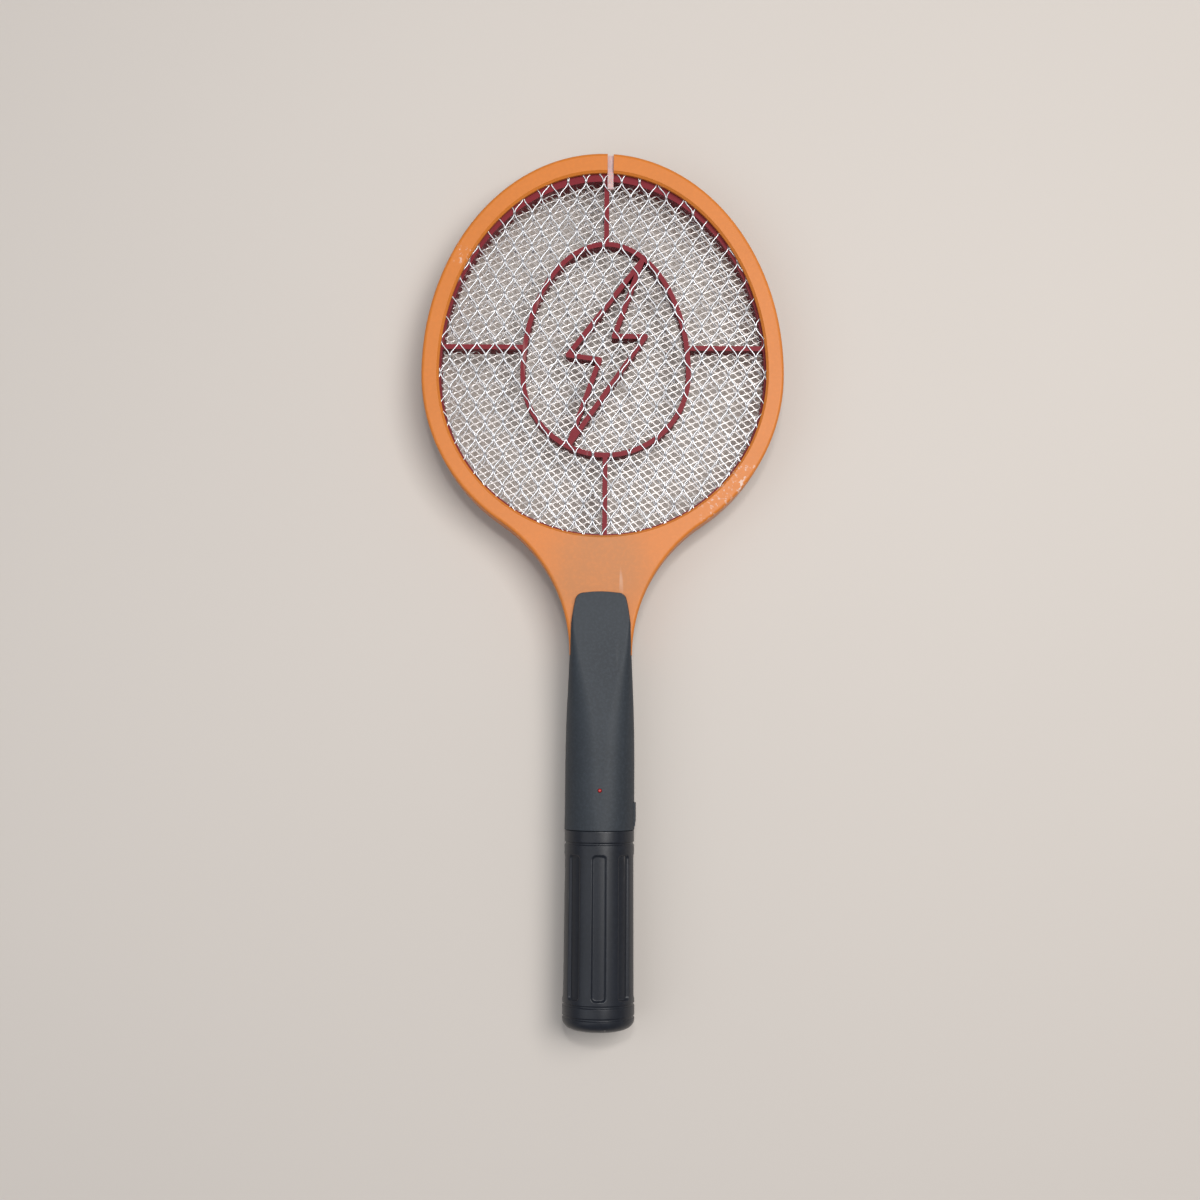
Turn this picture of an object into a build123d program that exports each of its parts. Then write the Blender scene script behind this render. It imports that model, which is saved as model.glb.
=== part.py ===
from build123d import *
import math
import os

# Electric fly swatter lying on its back: X across the head, +Y towards the crown of the hoop,
# +Z up through the front face. The origin is under the middle of the object, on the surface
# that it lies on. All sizes are in millimetres.

# ---- overall sizes -------------------------------------------------------------------------
total_length = 430.0
head_half_width = 89.4
crown_rise = 111.0            # head centre to crown
head_thickness = 18.0
cap_length = 95.5             # battery cap, from the end of the handle

# ---- head frame ----------------------------------------------------------------------------
rim_side_width = 8.6
rim_crown_width = 9.8
frame_wall = 2.2
frame_lip = 2.9
rim_round = 1.6
opening_bevel = 1.1
throat_radius = 78.5
throat_half_width = 15.2
tang_half_width = 12.5
tang_length = 17.0
tang_bevel = 2.0
slot_width = 3.0
slot_offset = 3.3
split_gap = 0.05              # half of the gap between the two frame halves

# ---- electrodes and spacers ----------------------------------------------------------------
mesh_thickness = 0.6
mesh_inset = 6.7
mesh_pitch_x = 8.9
mesh_pitch_y = 16.2
mesh_strand = 0.9
grid_thickness = 0.12
spacer_inset = 2.5
spacer_side_lead = 0.9        # how far the ring shows inside the opening
spacer_crown_lead = 3.6
rib_width = 2.4
layer_gap = 0.1
strip_x = 16.0
strip_half_width = 2.8
strip_thickness = 0.5
strip_relief = 0.7
terminal_half_width = 2.5

# ---- spacer figure: an egg ring, a cross and a zigzag hazard sign, from the head centre ----
ring_half_width = 41.0
ring_top = 65.6
ring_bottom = 40.6
ring_offset = 1.5
cross_height = 13.2
zigzag_corners = [(19.3, 57.4), (-17.2, 9.4), (-1.5, 7.2), (-16.8, -36.2), (21.1, 19.0), (5.6, 19.0)]

# ---- screws --------------------------------------------------------------------------------
frame_screw_radius = 1.1
frame_screw_head = 2.0
frame_screw_head_height = 1.3
frame_boss_radius = 2.2
frame_boss_inset = 4.2
rim_screw_angles = [20, 65, 115, 160, 205, 335]
throat_screw_x = 14.0
throat_screw_rise = 39.0
handle_screw_radius = 1.3
handle_screw_head = 2.4
handle_screw_head_height = 1.7
handle_boss_radius = 2.5
screw_clearance = 0.04
screw_floor = 1.2

# ---- handle --------------------------------------------------------------------------------
handle_wall = 2.0
nose_length = 31.0            # how far the handle's tongue reaches up the throat
nose_end_half_width = 8.0
nose_shoulder = 12.5
nose_shoulder_drop = 4.0
nose_taper = 10.0
shell_gap = 0.05
seat_clearance = 0.1
end_wall = 1.2

# ---- power button --------------------------------------------------------------------------
button_length = 11.4
button_height = 9.0
button_proud = 0.65
button_travel = 1.2
button_gap = 0.25
button_flange = 1.2
button_rise = 7.35            # middle of the button above the end of the handle
switch_size = 7.0
plunger_radius = 1.6

# ---- circuit board and what is on it -------------------------------------------------------
board_half_width = 11.5
board_thickness = 1.6
board_drop = 7.5              # board underside below the handle axis
board_end_rise = 3.9          # lower end of the board above the end of the handle
board_top_drop = 9.5          # upper end of the board behind the tang
led_radius = 0.95
led_rise = 19.0
core_size = 13.0
core_height = 6.0
transformer_rise = 43.1       # middle of the transformer above the lower end of the board
wire_radius = 0.6

# ---- battery compartment -------------------------------------------------------------------
cell_radius = 7.1
cell_length = 50.5
cell_gap = 0.5
cell_nub_radius = 2.7
cell_nub_height = 1.3
cell_clearance = 0.5
running_clearance = 0.08
cap_wall = 2.2                # at the cap's closed end, its widest part
cap_mouth_wall = 1.6
cap_end_round = 6.0
cap_end_flat = 5.0            # radius of the flat in the middle of the domed end
cap_dome = 1.0
cap_gap = 0.1
flute_count = 8
flute_angle = 24.0
flute_depth = 0.8
flute_start_drop = 11.6       # from the end of the handle
flute_end_rise = 15.2         # from the end of the cap
groove_width = 1.1
groove_depth = 0.5
mouth_groove_drop = 6.4
end_groove_rises = [12.7, 6.8]
contact_thickness = 0.4
collar_length = 15.3
collar_wall = 2.1
neck_radius = 9.5
neck_bore = 7.2
neck_flange_radius = 10.8
neck_flange = 1.4
end_plate = 2.5
spring_length = 8.7
spring_radius = 4.2
spring_wire = 0.45
spring_turns = 5

# ---- worked out ----------------------------------------------------------------------------
bore_radius = 2 * cell_radius + cell_gap + cell_clearance
cap_radius = bore_radius + cap_wall
cap_mouth_radius = bore_radius + cap_mouth_wall
handle_end_radius = cap_mouth_radius + 0.2
mid = cap_radius
top_y = total_length / 2
end_y = -total_length / 2
parting_y = end_y + cap_length
head_y = top_y - crown_rise
half_thickness = head_thickness / 2
cavity_depth = half_thickness - frame_lip
mesh_low = cavity_depth - 0.05 - mesh_thickness
spacer_low = grid_thickness / 2 + layer_gap
spacer_high = mesh_low - layer_gap
throat_x = throat_half_width + throat_radius
throat_y = head_y - math.sqrt((head_half_width + throat_radius) ** 2 - throat_x**2)
tang_end = throat_y - tang_length
throat_reach = head_half_width + throat_radius
throat_dir = (throat_x / throat_reach, (throat_y - head_y) / throat_reach)
nose_y = throat_y + nose_length
collar_radius = bore_radius - running_clearance
board_low = mid - board_drop
board_high = board_low + board_thickness
cell_x = cell_radius + cell_gap / 2
collar_y = parting_y - 0.2
plate_y = collar_y - collar_length
contact_y = plate_y - contact_thickness
bridge_y = contact_y - cell_length - spring_length
tray_end_y = bridge_y - contact_thickness - end_plate
button_y = parting_y + button_rise
button_face = handle_end_radius + button_proud
shell_inner = handle_end_radius - handle_wall
flange_face = math.sqrt(shell_inner**2 - (button_height / 2 + 1.0) ** 2) - 0.3
flange_back = flange_face - button_flange
strip_low = strip_x - strip_half_width
strip_high = strip_x + strip_half_width
strip_y = head_y - math.sqrt((head_half_width - frame_wall) ** 2 - strip_high**2) + 0.2
grid_edge_y = head_y - math.sqrt((head_half_width - mesh_inset) ** 2 - strip_x**2)
board_end_y = parting_y + board_end_rise
board_top_y = tang_end - board_top_drop
led_y = parting_y + led_rise
transformer_y = board_end_y + transformer_rise
flute_start_y = parting_y - flute_start_drop
flute_end_y = end_y + flute_end_rise


# ---- outlines ------------------------------------------------------------------------------
def head_outline(inset_side, inset_crown):
    """The egg of the head: half an ellipse above its centre and half a circle below."""
    wide = head_half_width - inset_side
    tall = crown_rise - inset_crown
    with BuildSketch() as sketch:
        with BuildLine():
            EllipticalCenterArc((0, head_y), wide, tall, start_angle=0, arc_size=180)
            CenterArc((0, head_y), wide, 180, 180)
        make_face()
    return sketch.sketch


def throat_outline(inset):
    """The flare from the head circle down to the handle, two arcs that meet it tangentially."""
    meet = head_half_width - inset
    radius = throat_radius + inset
    upper = (meet * throat_dir[0], head_y + meet * throat_dir[1])
    lower = (throat_half_width - inset, throat_y)
    turn = math.atan2(upper[1] - throat_y, upper[0] - throat_x)
    half = (turn + math.pi) / 2
    middle = (throat_x + radius * math.cos(half), throat_y + radius * math.sin(half))
    with BuildSketch() as sketch:
        with BuildLine():
            Line((-upper[0], upper[1]), upper)
            ThreePointArc(upper, middle, lower)
            Line(lower, (-lower[0], lower[1]))
            ThreePointArc((-lower[0], lower[1]), (-middle[0], middle[1]), (-upper[0], upper[1]))
        make_face()
    return sketch.sketch


def slab(face, low, high):
    """A flat sketch made solid between two heights above the head's middle plane."""
    return extrude(Pos(0, 0, mid + low) * face, amount=high - low, dir=(0, 0, 1))


def block(x0, x1, y0, y1, z0, z1):
    """A box between two corners, z from the middle plane."""
    return Pos((x0 + x1) / 2, (y0 + y1) / 2, mid + (z0 + z1) / 2) * Box(x1 - x0, y1 - y0, z1 - z0)


def post(x, y, radius, low, high):
    """An upright cylinder between two heights above the middle plane."""
    return Pos(x, y, mid + (low + high) / 2) * Cylinder(radius, high - low)


def rod(radius, y0, y1, x=0.0, z=0.0):
    """A cylinder along Y between two places, z from the middle plane."""
    return Pos(x, (y0 + y1) / 2, mid + z) * Rot(90, 0, 0) * Cylinder(radius, abs(y1 - y0))


def rim_point(angle, inset):
    """A point on the head outline, inset, at an angle from the head centre."""
    turn = math.radians(angle)
    wide = head_half_width - inset
    tall = crown_rise - inset if angle < 180 else wide
    return (wide * math.cos(turn), head_y + tall * math.sin(turn))


def frame_screw_places():
    places = [rim_point(angle, frame_boss_inset) for angle in rim_screw_angles]
    y = throat_y + throat_screw_rise
    return places + [(-throat_screw_x, y), (throat_screw_x, y)]


def front_to_rear(solid):
    """The mirror image of a front piece in the middle plane."""
    return mirror(solid, about=Plane.XY.offset(mid))


# ---- head ----------------------------------------------------------------------------------
def frame_blank():
    """One half of the hoop, throat and tang, from the middle plane up, before any screw."""
    plan = head_outline(0, 0) + throat_outline(0)
    body = slab(plan, split_gap, half_thickness)
    top_edges = body.faces().sort_by(Axis.Z)[-1].edges()
    rim_edges = [edge for edge in top_edges if edge.center().Y > throat_y + 1]
    body = fillet(rim_edges, rim_round)
    tang = block(-tang_half_width, tang_half_width, tang_end, throat_y, split_gap, half_thickness)
    tang = chamfer(tang.edges().filter_by(Axis.Y).sort_by(Axis.Z)[-2:], tang_bevel)
    body = body + tang
    opening = slab(head_outline(rim_side_width, rim_crown_width), 0, half_thickness + 1)
    bevel = loft([
        Pos(0, 0, mid + half_thickness - opening_bevel) * head_outline(rim_side_width, rim_crown_width),
        Pos(0, 0, mid + half_thickness + 0.01)
        * head_outline(rim_side_width - opening_bevel, rim_crown_width - opening_bevel),
    ])
    body = body - opening - bevel
    hollow = slab(head_outline(frame_wall, frame_wall), 0, cavity_depth)
    throat_hollow = slab(throat_outline(frame_wall), 0, cavity_depth)
    throat_hollow = throat_hollow - slab(head_outline(0, 0), -1, half_thickness)
    inner = tang_half_width - frame_wall
    duct = block(-inner, inner, tang_end - 1, throat_y + 0.5, 0, cavity_depth)
    body = body - hollow - throat_hollow - duct
    for side in (-1, 1):
        notch = block(side * strip_x - 3, side * strip_x + 3, head_y - head_half_width - 1,
                      head_y - head_half_width + 5, 0, 2.0)
        body = body - notch
    for x, y in frame_screw_places():
        body = body + post(x, y, frame_boss_radius, split_gap, cavity_depth + 0.5)
    boss_y = handle_screw_places()[0][1]
    body = body + post(0, boss_y, handle_boss_radius, split_gap, cavity_depth + 0.5)
    body = body - post(0, boss_y, handle_screw_radius + screw_clearance, -1, half_thickness + 1)
    slot = block(slot_offset - slot_width / 2, slot_offset + slot_width / 2,
                 head_y + crown_rise - rim_crown_width - 2, top_y + 1, -1, half_thickness + 1)
    return body - slot


def front_frame():
    body = frame_blank()
    for x, y in frame_screw_places():
        body = body - post(x, y, frame_screw_radius + screw_clearance, -1, half_thickness - 1.2)
    return body


def rear_frame():
    body = frame_blank()
    for x, y in frame_screw_places():
        body = body - post(x, y, frame_screw_radius + screw_clearance, -1, half_thickness + 1)
        recess = post(x, y, frame_screw_head + 0.2, half_thickness - frame_screw_head_height - 0.2,
                      half_thickness + 1)
        body = body - recess
    return front_to_rear(body)


def frame_screws():
    """Self-tapping screws that go in from the rear, their points in the front lip."""
    screws = []
    head_low = -half_thickness + 0.2
    for x, y in frame_screw_places():
        shank = post(x, y, frame_screw_radius, head_low + frame_screw_head_height, half_thickness - 1.6)
        head = post(x, y, frame_screw_head, head_low, head_low + frame_screw_head_height)
        cross = block(x - 1.1, x + 1.1, y - 0.25, y + 0.25, head_low - 1, head_low + 0.6)
        cross = cross + block(x - 0.25, x + 0.25, y - 1.1, y + 1.1, head_low - 1, head_low + 0.6)
        screws.append(shank + head - cross)
    return screws


def crown_clip():
    """The nylon key in the slot at the crown, which ties the two ends of the hoop."""
    half = slot_width / 2 - 0.05
    outer = top_y - 0.9
    inner = top_y - frame_wall + 0.1
    reach = top_y - 18.0
    low = cavity_depth + 0.1
    high = cavity_depth + 1.5
    front = block(slot_offset - half, slot_offset + half, reach, outer, low, high)
    rear = block(slot_offset - half, slot_offset + half, reach + 8, outer, -high, -low)
    back = block(slot_offset - half, slot_offset + half, inner, outer, -low, low)
    return front + rear + back


def mesh_cell(x, y, inset):
    """The corners of one diamond hole in the coarse expanded mesh."""
    wide = mesh_pitch_x / 2 - inset
    tall = mesh_pitch_y / 2 - inset * mesh_pitch_y / mesh_pitch_x
    return [(x + wide, y), (x, y + tall), (x - wide, y), (x, y - tall)]


def inside_mesh(x, y, margin):
    """Whether a point is inside the mesh's plain edge by a margin."""
    wide = head_half_width - mesh_inset - margin
    tall = (crown_rise - mesh_inset - margin) if y > head_y else wide
    return (x / wide) ** 2 + ((y - head_y) / tall) ** 2 < 1


def coarse_mesh():
    """The outer electrode: a sheet with rows of diamond holes, every other row set over by half."""
    rows = int(crown_rise / (mesh_pitch_y / 2)) + 1
    columns = int(head_half_width / mesh_pitch_x) + 1
    holes = []
    for row in range(-rows, rows + 1):
        for column in range(-columns, columns + 1):
            x = (column + 0.5 * (row % 2)) * mesh_pitch_x
            y = head_y + row * mesh_pitch_y / 2
            corners = mesh_cell(x, y, mesh_strand / 2)
            if all(inside_mesh(cx, cy, mesh_strand) for cx, cy in corners):
                holes.append(Wire.make_polygon([Vector(cx, cy, 0) for cx, cy in corners]))
    edge = head_outline(mesh_inset, mesh_inset).face().outer_wire()
    sheet = Face(edge, holes)
    return extrude(Pos(0, 0, mid + mesh_low) * sheet, amount=mesh_thickness, dir=(0, 0, 1))


def inner_grid():
    """The fine high-voltage grid in the middle plane, as one sheet."""
    return slab(head_outline(mesh_inset, mesh_inset), -grid_thickness / 2, grid_thickness / 2)


def egg_outline(grow):
    """The egg ring's centre line, grown or shrunk: half an ellipse above and half one below."""
    centre = (ring_offset, head_y)
    wide = ring_half_width + grow
    with BuildSketch() as sketch:
        with BuildLine():
            EllipticalCenterArc(centre, wide, ring_top + grow, start_angle=0, arc_size=180)
            EllipticalCenterArc(centre, wide, ring_bottom + grow, start_angle=180, arc_size=180)
        make_face()
    return sketch.sketch


def spacer_outline():
    """The red spacer seen from the front: outer ring, egg ring, cross arms and zigzag sign."""
    inner_side = rim_side_width + spacer_side_lead
    inner_crown = rim_crown_width + spacer_crown_lead
    band = head_outline(spacer_inset, spacer_inset) - head_outline(inner_side, inner_crown)
    half = rib_width / 2
    reach_x = head_half_width - spacer_inset - 1
    across = Pos(0, head_y + cross_height) * Rectangle(2 * reach_x, rib_width)
    reach_up = crown_rise - spacer_inset - 1
    reach_down = head_half_width - spacer_inset - 1
    along = Pos(ring_offset, head_y + (reach_up - reach_down) / 2) * Rectangle(rib_width, reach_up + reach_down)
    arms = across + along - egg_outline(half)
    return band + arms + (egg_outline(half) - egg_outline(-half)) + zigzag_ribs()


def zigzag_ribs():
    """The outline of the hazard sign as ribs with rounded corners."""
    corners = [Vector(x, head_y + y, 0) for x, y in zigzag_corners]
    ribs = []
    for start, end in zip(corners, corners[1:] + corners[:1]):
        run = end - start
        angle = math.degrees(math.atan2(run.Y, run.X))
        middle = (start + end) / 2
        ribs.append(Pos(middle.X, middle.Y) * Rot(0, 0, angle) * Rectangle(run.length, rib_width))
        ribs.append(Pos(start.X, start.Y) * Circle(rib_width / 2))
    return Sketch() + ribs


def front_spacer():
    body = slab(spacer_outline(), spacer_low, spacer_high)
    for x, y in frame_screw_places():
        body = body - post(x, y, frame_boss_radius + 0.3, -1, half_thickness)
    low_edge = head_y - head_half_width
    left = strip_low - strip_relief
    right = strip_high + strip_relief
    body = body - block(left, right, low_edge, strip_y + 2.5, -1, half_thickness)
    body = body - block(left, right, low_edge, strip_y + 6.6, mesh_low - 0.8, half_thickness)
    return body - block(-right, -left, low_edge, strip_y + 6.0, -1, 1.6)


def mesh_strip():
    """The tinned strip that joins the two outer meshes, bent round the stack's lower edge."""
    tab_end = head_y - math.sqrt((head_half_width - mesh_inset) ** 2 - strip_low**2) + 1.6
    top = mesh_low - layer_gap / 2
    back = block(strip_low, strip_high, strip_y, strip_y + strip_thickness, -top, top)
    tabs = block(strip_low, strip_high, strip_y, tab_end, top - strip_thickness, top)
    return back + tabs + front_to_rear(tabs)


def grid_terminal():
    """The brass tab that clips on the fine grid and takes the high-voltage wire."""
    edge = grid_edge_y
    low = grid_thickness / 2 + 0.02
    half = terminal_half_width
    upper = block(-strip_x - half, -strip_x + half, edge - 8.0, edge + 1.4, low, low + 0.5)
    barrel = rod(1.1, edge - 11.0, edge - 7.5, x=-strip_x, z=low + 0.9)
    barrel = barrel - rod(wire_radius + 0.05, edge - 12.0, edge - 8.6, x=-strip_x, z=low + 0.9)
    return upper + barrel


# ---- handle --------------------------------------------------------------------------------
handle_stations = [
    # place along the handle, half width, half height, corner radius
    (nose_y + 1.5, throat_half_width - 0.3, half_thickness + 2.1, 3.2),
    (throat_y, throat_half_width - 0.2, half_thickness + 2.9, 4.4),
    (parting_y + 59.5, handle_end_radius - 0.8, handle_end_radius - 3.6, 11.0),
    (parting_y + 29.5, handle_end_radius - 0.2, handle_end_radius - 1.6, 14.8),
    (parting_y, handle_end_radius, handle_end_radius, handle_end_radius - 0.1),
]


def handle_section(y, half_width, half_height, corner):
    section = RectangleRounded(2 * half_width, 2 * half_height, corner)
    return Plane(origin=(0, y, mid), x_dir=(1, 0, 0), z_dir=(0, -1, 0)) * section


def handle_solid(wall):
    """The handle's outer shape, or its hollow when a wall is given."""
    sections = []
    for y, half_width, half_height, corner in handle_stations:
        sections.append(handle_section(y, half_width - wall, half_height - wall, max(corner - wall, 0.8)))
    return loft(sections)


def nose_outline():
    """The rounded tongue of the handle that lies over the throat of the frame."""
    side = handle_stations[1][1]
    root_y = throat_y - 2.0
    end_y = nose_y - 0.6
    end_x = nose_end_half_width
    corner_x = nose_shoulder - 1.1
    corner_y = nose_y - 1.9
    shoulder_y = nose_y - nose_shoulder_drop
    waist_y = nose_y - 15.5
    with BuildSketch() as sketch:
        with BuildLine():
            ThreePointArc((end_x, end_y), (0, nose_y), (-end_x, end_y))
            ThreePointArc((-end_x, end_y), (-corner_x, corner_y), (-nose_shoulder, shoulder_y))
            ThreePointArc((-nose_shoulder, shoulder_y), (0.55 - side, waist_y), (-side, throat_y))
            Polyline((-side, throat_y), (-side, root_y), (side, root_y), (side, throat_y))
            ThreePointArc((side, throat_y), (side - 0.55, waist_y), (nose_shoulder, shoulder_y))
            ThreePointArc((nose_shoulder, shoulder_y), (corner_x, corner_y), (end_x, end_y))
        make_face()
    return sketch.sketch


def handle_screw_places():
    """One screw through the tongue, two behind the tang and one at the lower end."""
    behind = tang_end - 4.6
    return [(0.0, throat_y + 15.0), (-10.0, behind), (10.0, behind), (0.0, parting_y + 6.9)]


def shell_blank():
    """The front half of the handle shell, without holes."""
    outer = handle_solid(0)
    grip = outer & block(-30, 30, parting_y, throat_y - 0.05, shell_gap, 30)
    nose_plan = Pos(0, 0, mid + half_thickness + seat_clearance) * nose_outline()
    nose = extrude(nose_plan, amount=6.0, dir=(0, 0, 1), taper=nose_taper) & outer
    hollow = handle_solid(handle_wall) & block(-30, 30, parting_y + end_wall, throat_y, -30, 30)
    bore = rod(neck_radius + 0.2, parting_y - 1, parting_y + end_wall + 1)
    return (grip - hollow - bore) + nose


def button_window():
    gap = button_gap
    return block(8, 30, button_y - button_length / 2 - gap, button_y + button_length / 2 + gap,
                 -button_height / 2 - gap, button_height / 2 + gap)


def handle_front_shell():
    body = shell_blank()
    outer = handle_solid(0.3)
    for x, y in handle_screw_places()[1:]:
        boss = post(x, y, handle_boss_radius, shell_gap, 20) & outer
        body = body + boss
    for x, y in handle_screw_places():
        tip = half_thickness + 1.2 if y > throat_y else 8.0
        body = body - post(x, y, handle_screw_radius + screw_clearance, -1, tip)
    body = body - button_window()
    return body - post(0, led_y, led_radius + 0.1, 5, 30)


def handle_rear_shell():
    body = shell_blank()
    outer = handle_solid(0.3)
    for x, y in handle_screw_places()[1:]:
        boss = post(x, y, handle_boss_radius, shell_gap, 20)
        cup = post(x, y, handle_screw_head + 0.25 + 1.2, board_drop + 0.2, 20)
        body = body + ((boss + cup) & outer)
    for x, y in board_screw_places():
        body = body + (post(x, y, 2.2, board_drop, 20) & outer)
    for x, y in handle_screw_places():
        body = body - post(x, y, handle_screw_radius + screw_clearance, -1, 30)
        body = body - post(x, y, handle_screw_head + 0.25, handle_seat(y), 30)
    for x, y in board_screw_places():
        body = body - post(x, y, 0.9 + screw_clearance, 0, board_drop + 3.0)
    body = body - button_window()
    return front_to_rear(body)


def handle_seat(y):
    """How far below the axis a handle screw's head sits in the rear shell."""
    return half_thickness + 0.5 if y > throat_y else board_drop + 0.2 + screw_floor


def handle_screws():
    screws = []
    for x, y in handle_screw_places():
        seat = -handle_seat(y)
        tip = half_thickness + 0.9 if y > throat_y else 7.5
        shank = post(x, y, handle_screw_radius, seat, tip)
        head = post(x, y, handle_screw_head, seat - handle_screw_head_height, seat)
        low = seat - handle_screw_head_height
        cross = block(x - 1.4, x + 1.4, y - 0.3, y + 0.3, low - 1, low + 0.8)
        cross = cross + block(x - 0.3, x + 0.3, y - 1.4, y + 1.4, low - 1, low + 0.8)
        screws.append(shank + head - cross)
    return screws


# ---- power button and switch ---------------------------------------------------------------
def power_button():
    """A pad in the right flank with a flange behind the shell wall; it slides along X."""
    half = button_length / 2
    pad = block(flange_back, button_face, button_y - half, button_y + half,
                -button_height / 2, button_height / 2)
    pad = pad & rod(button_face, button_y - half, button_y + half)
    lip = block(flange_back, flange_face, button_y - half, button_y + half + 0.8,
                -button_height / 2 - 0.8, button_height / 2 + 0.8)
    ramp_x = button_face - 0.55
    ramp = Polyline((ramp_x, button_y - half - 0.1), (button_face + 0.2, button_y - half + 4.3),
                    (button_face + 0.2, button_y - half - 0.1), close=True)
    lower_end = extrude(Pos(0, 0, mid) * make_face(ramp), amount=button_height, both=True)
    return pad + lip - lower_end


def switch_plunger():
    length = 3.4
    plunger = Pos(flange_back - length / 2, button_y, mid) * Rot(0, 90, 0) * Cylinder(plunger_radius, length)
    return plunger


def switch_body():
    high = flange_back - button_travel - 0.4
    body = block(high - switch_size, high, button_y - switch_size / 2, button_y + switch_size / 2,
                 -board_drop + board_thickness + 0.02, switch_size / 2)
    hole = Pos(high, button_y, mid) * Rot(0, 90, 0) * Cylinder(plunger_radius + 0.08, 9)
    return body - hole


# ---- circuit board -------------------------------------------------------------------------
def board_screw_places():
    return [(-7.5, board_top_y - 3.5), (-7.5, board_end_y + 13.1)]


def on_board(x0, x1, y0, y1, low, high):
    """A box that stands on the board, its heights from the board's top."""
    base = -board_drop + board_thickness
    return block(x0, x1, y0, y1, base + low, base + high)


def circuit_board():
    board = block(-board_half_width, board_half_width, board_end_y, board_top_y,
                  -board_drop, -board_drop + board_thickness)
    for x, y in board_screw_places():
        board = board - post(x, y, 1.1, -20, 0)
    x, y = handle_screw_places()[3]
    return board - post(x, y, handle_boss_radius + 0.3, -20, 0)


def board_screws():
    screws = []
    top = -board_drop + board_thickness
    for x, y in board_screw_places():
        shank = post(x, y, 0.9, -board_drop - 2.6, top)
        head = post(x, y, 1.8, top, top + 1.1)
        screws.append(shank + head - block(x - 1.2, x + 1.2, y - 0.2, y + 0.2, top + 0.6, top + 2))
    return screws


def transformer_core():
    """A ferrite E core pair: a square frame with a middle leg."""
    half = core_size / 2
    body = on_board(-half, half, transformer_y - half, transformer_y + half, 2.0, 2.0 + core_height)
    for side in (-1, 1):
        window = on_board(min(side * 1.8, side * 4.7), max(side * 1.8, side * 4.7),
                          transformer_y - 4.2, transformer_y + 4.2, 0, 20)
        body = body - window
    return body


def transformer_winding():
    """The bobbin with its windings, round the core's middle leg."""
    outer = on_board(-4.5, 4.5, transformer_y - 4.0, transformer_y + 4.0, 0.1, 9.8)
    outer = fillet(outer.edges().filter_by(Axis.Y), 0.8)
    leg = on_board(-1.9, 1.9, transformer_y - 10, transformer_y + 10, 1.9, 2.1 + core_height)
    return outer - leg


def hv_capacitor():
    y = board_end_y + 29.1
    body = on_board(-6.5, 6.5, y - 3.0, y + 3.0, 0.6, 11.5)
    body = fillet(body.edges(), 0.9)
    for side in (-1, 1):
        body = body + post(side * 5.0, y, 0.35, -board_drop + board_thickness + 0.01,
                           -board_drop + board_thickness + 2)
    return body


def axial_part(x, y, radius, length, lead_span):
    """A small cylinder with bent leads that stands on the board, across X."""
    base = -board_drop + board_thickness
    height = base + radius + 0.6
    body = Pos(x, y, mid + height) * Rot(0, 90, 0) * Cylinder(radius, length)
    lead = Pos(x, y, mid + height) * Rot(0, 90, 0) * Cylinder(0.3, lead_span)
    legs = post(x - lead_span / 2 + 0.3, y, 0.3, base + 0.01, height)
    legs = legs + post(x + lead_span / 2 - 0.3, y, 0.3, base + 0.01, height)
    return body + lead + legs


def hv_diodes():
    return [axial_part(4.8, board_end_y + rise, 1.3, 5.0, 9.0) for rise in (34.6, 23.1, 19.6)]


def resistors():
    places = [(-5.4, board_end_y + 23.1), (-5.4, board_end_y + 20.0), (5.8, board_end_y + 51.2)]
    return [axial_part(x, y, 1.1, 6.2, 9.6) for x, y in places]


def transistor():
    base = -board_drop + board_thickness
    x = 5.5
    y = board_end_y + 14.1
    body = post(x, y, 2.4, base + 2.5, base + 7.3)
    body = body - block(x - 3.5, x + 3.5, y + 1.6, y + 3.5, -10, 10)
    for step in (-1, 0, 1):
        body = body + post(x + step * 1.27, y, 0.25, base + 0.01, base + 3)
    return body


def indicator_led():
    """A small red lamp on long legs, its dome flush in the front shell."""
    skin = handle_end_radius - 1.05
    base = -board_drop + board_thickness
    body = post(0, led_y, led_radius, skin - 4.9, skin - 0.6)
    dome = Pos(0, led_y, mid + skin - 0.6) * Sphere(led_radius)
    flange = post(0, led_y, led_radius + 0.5, skin - 5.7, skin - 4.9)
    legs = post(-0.6, led_y, 0.25, base + 0.01, skin - 5.5)
    legs = legs + post(0.6, led_y, 0.25, base + 0.01, skin - 5.5)
    return body + dome + flange + legs


# ---- wires ---------------------------------------------------------------------------------
def wire_along(points):
    """A round wire along straight runs joined by arcs as large as each pair of runs allows."""
    places = [Vector(x, y, mid + z) for x, y, z in points]
    runs = [b - a for a, b in zip(places, places[1:])]
    radii = []
    for first, second in zip(runs, runs[1:]):
        half_turn = math.radians(first.get_angle(second)) / 2
        radii.append(0.45 * min(first.length, second.length) / math.tan(half_turn))
    path = FilletPolyline(*places, radius=radii)
    section = Plane(origin=places[0], z_dir=runs[0]) * Circle(wire_radius)
    return sweep(section, path=path)


def grid_wire():
    """High-voltage wire from the board, through the tang and throat, to the grid's tab."""
    edge = grid_edge_y
    z = grid_thickness / 2 + 0.92
    return wire_along([(-3.2, board_top_y - 4.0, -5.0), (-4.0, tang_end - 4.0, -3.0), (-5.2, tang_end + 6.0, 0.4),
                       (-6.2, throat_y + 1.0, 0.9), (-6.4, throat_y + 15.0, 0.5), (-7.2, throat_y + 28.0, 0.5),
                       (-9.5, throat_y + 41.0, 0.8), (-strip_x, edge - 12.0, z), (-strip_x, edge - 8.8, z)])


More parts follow.
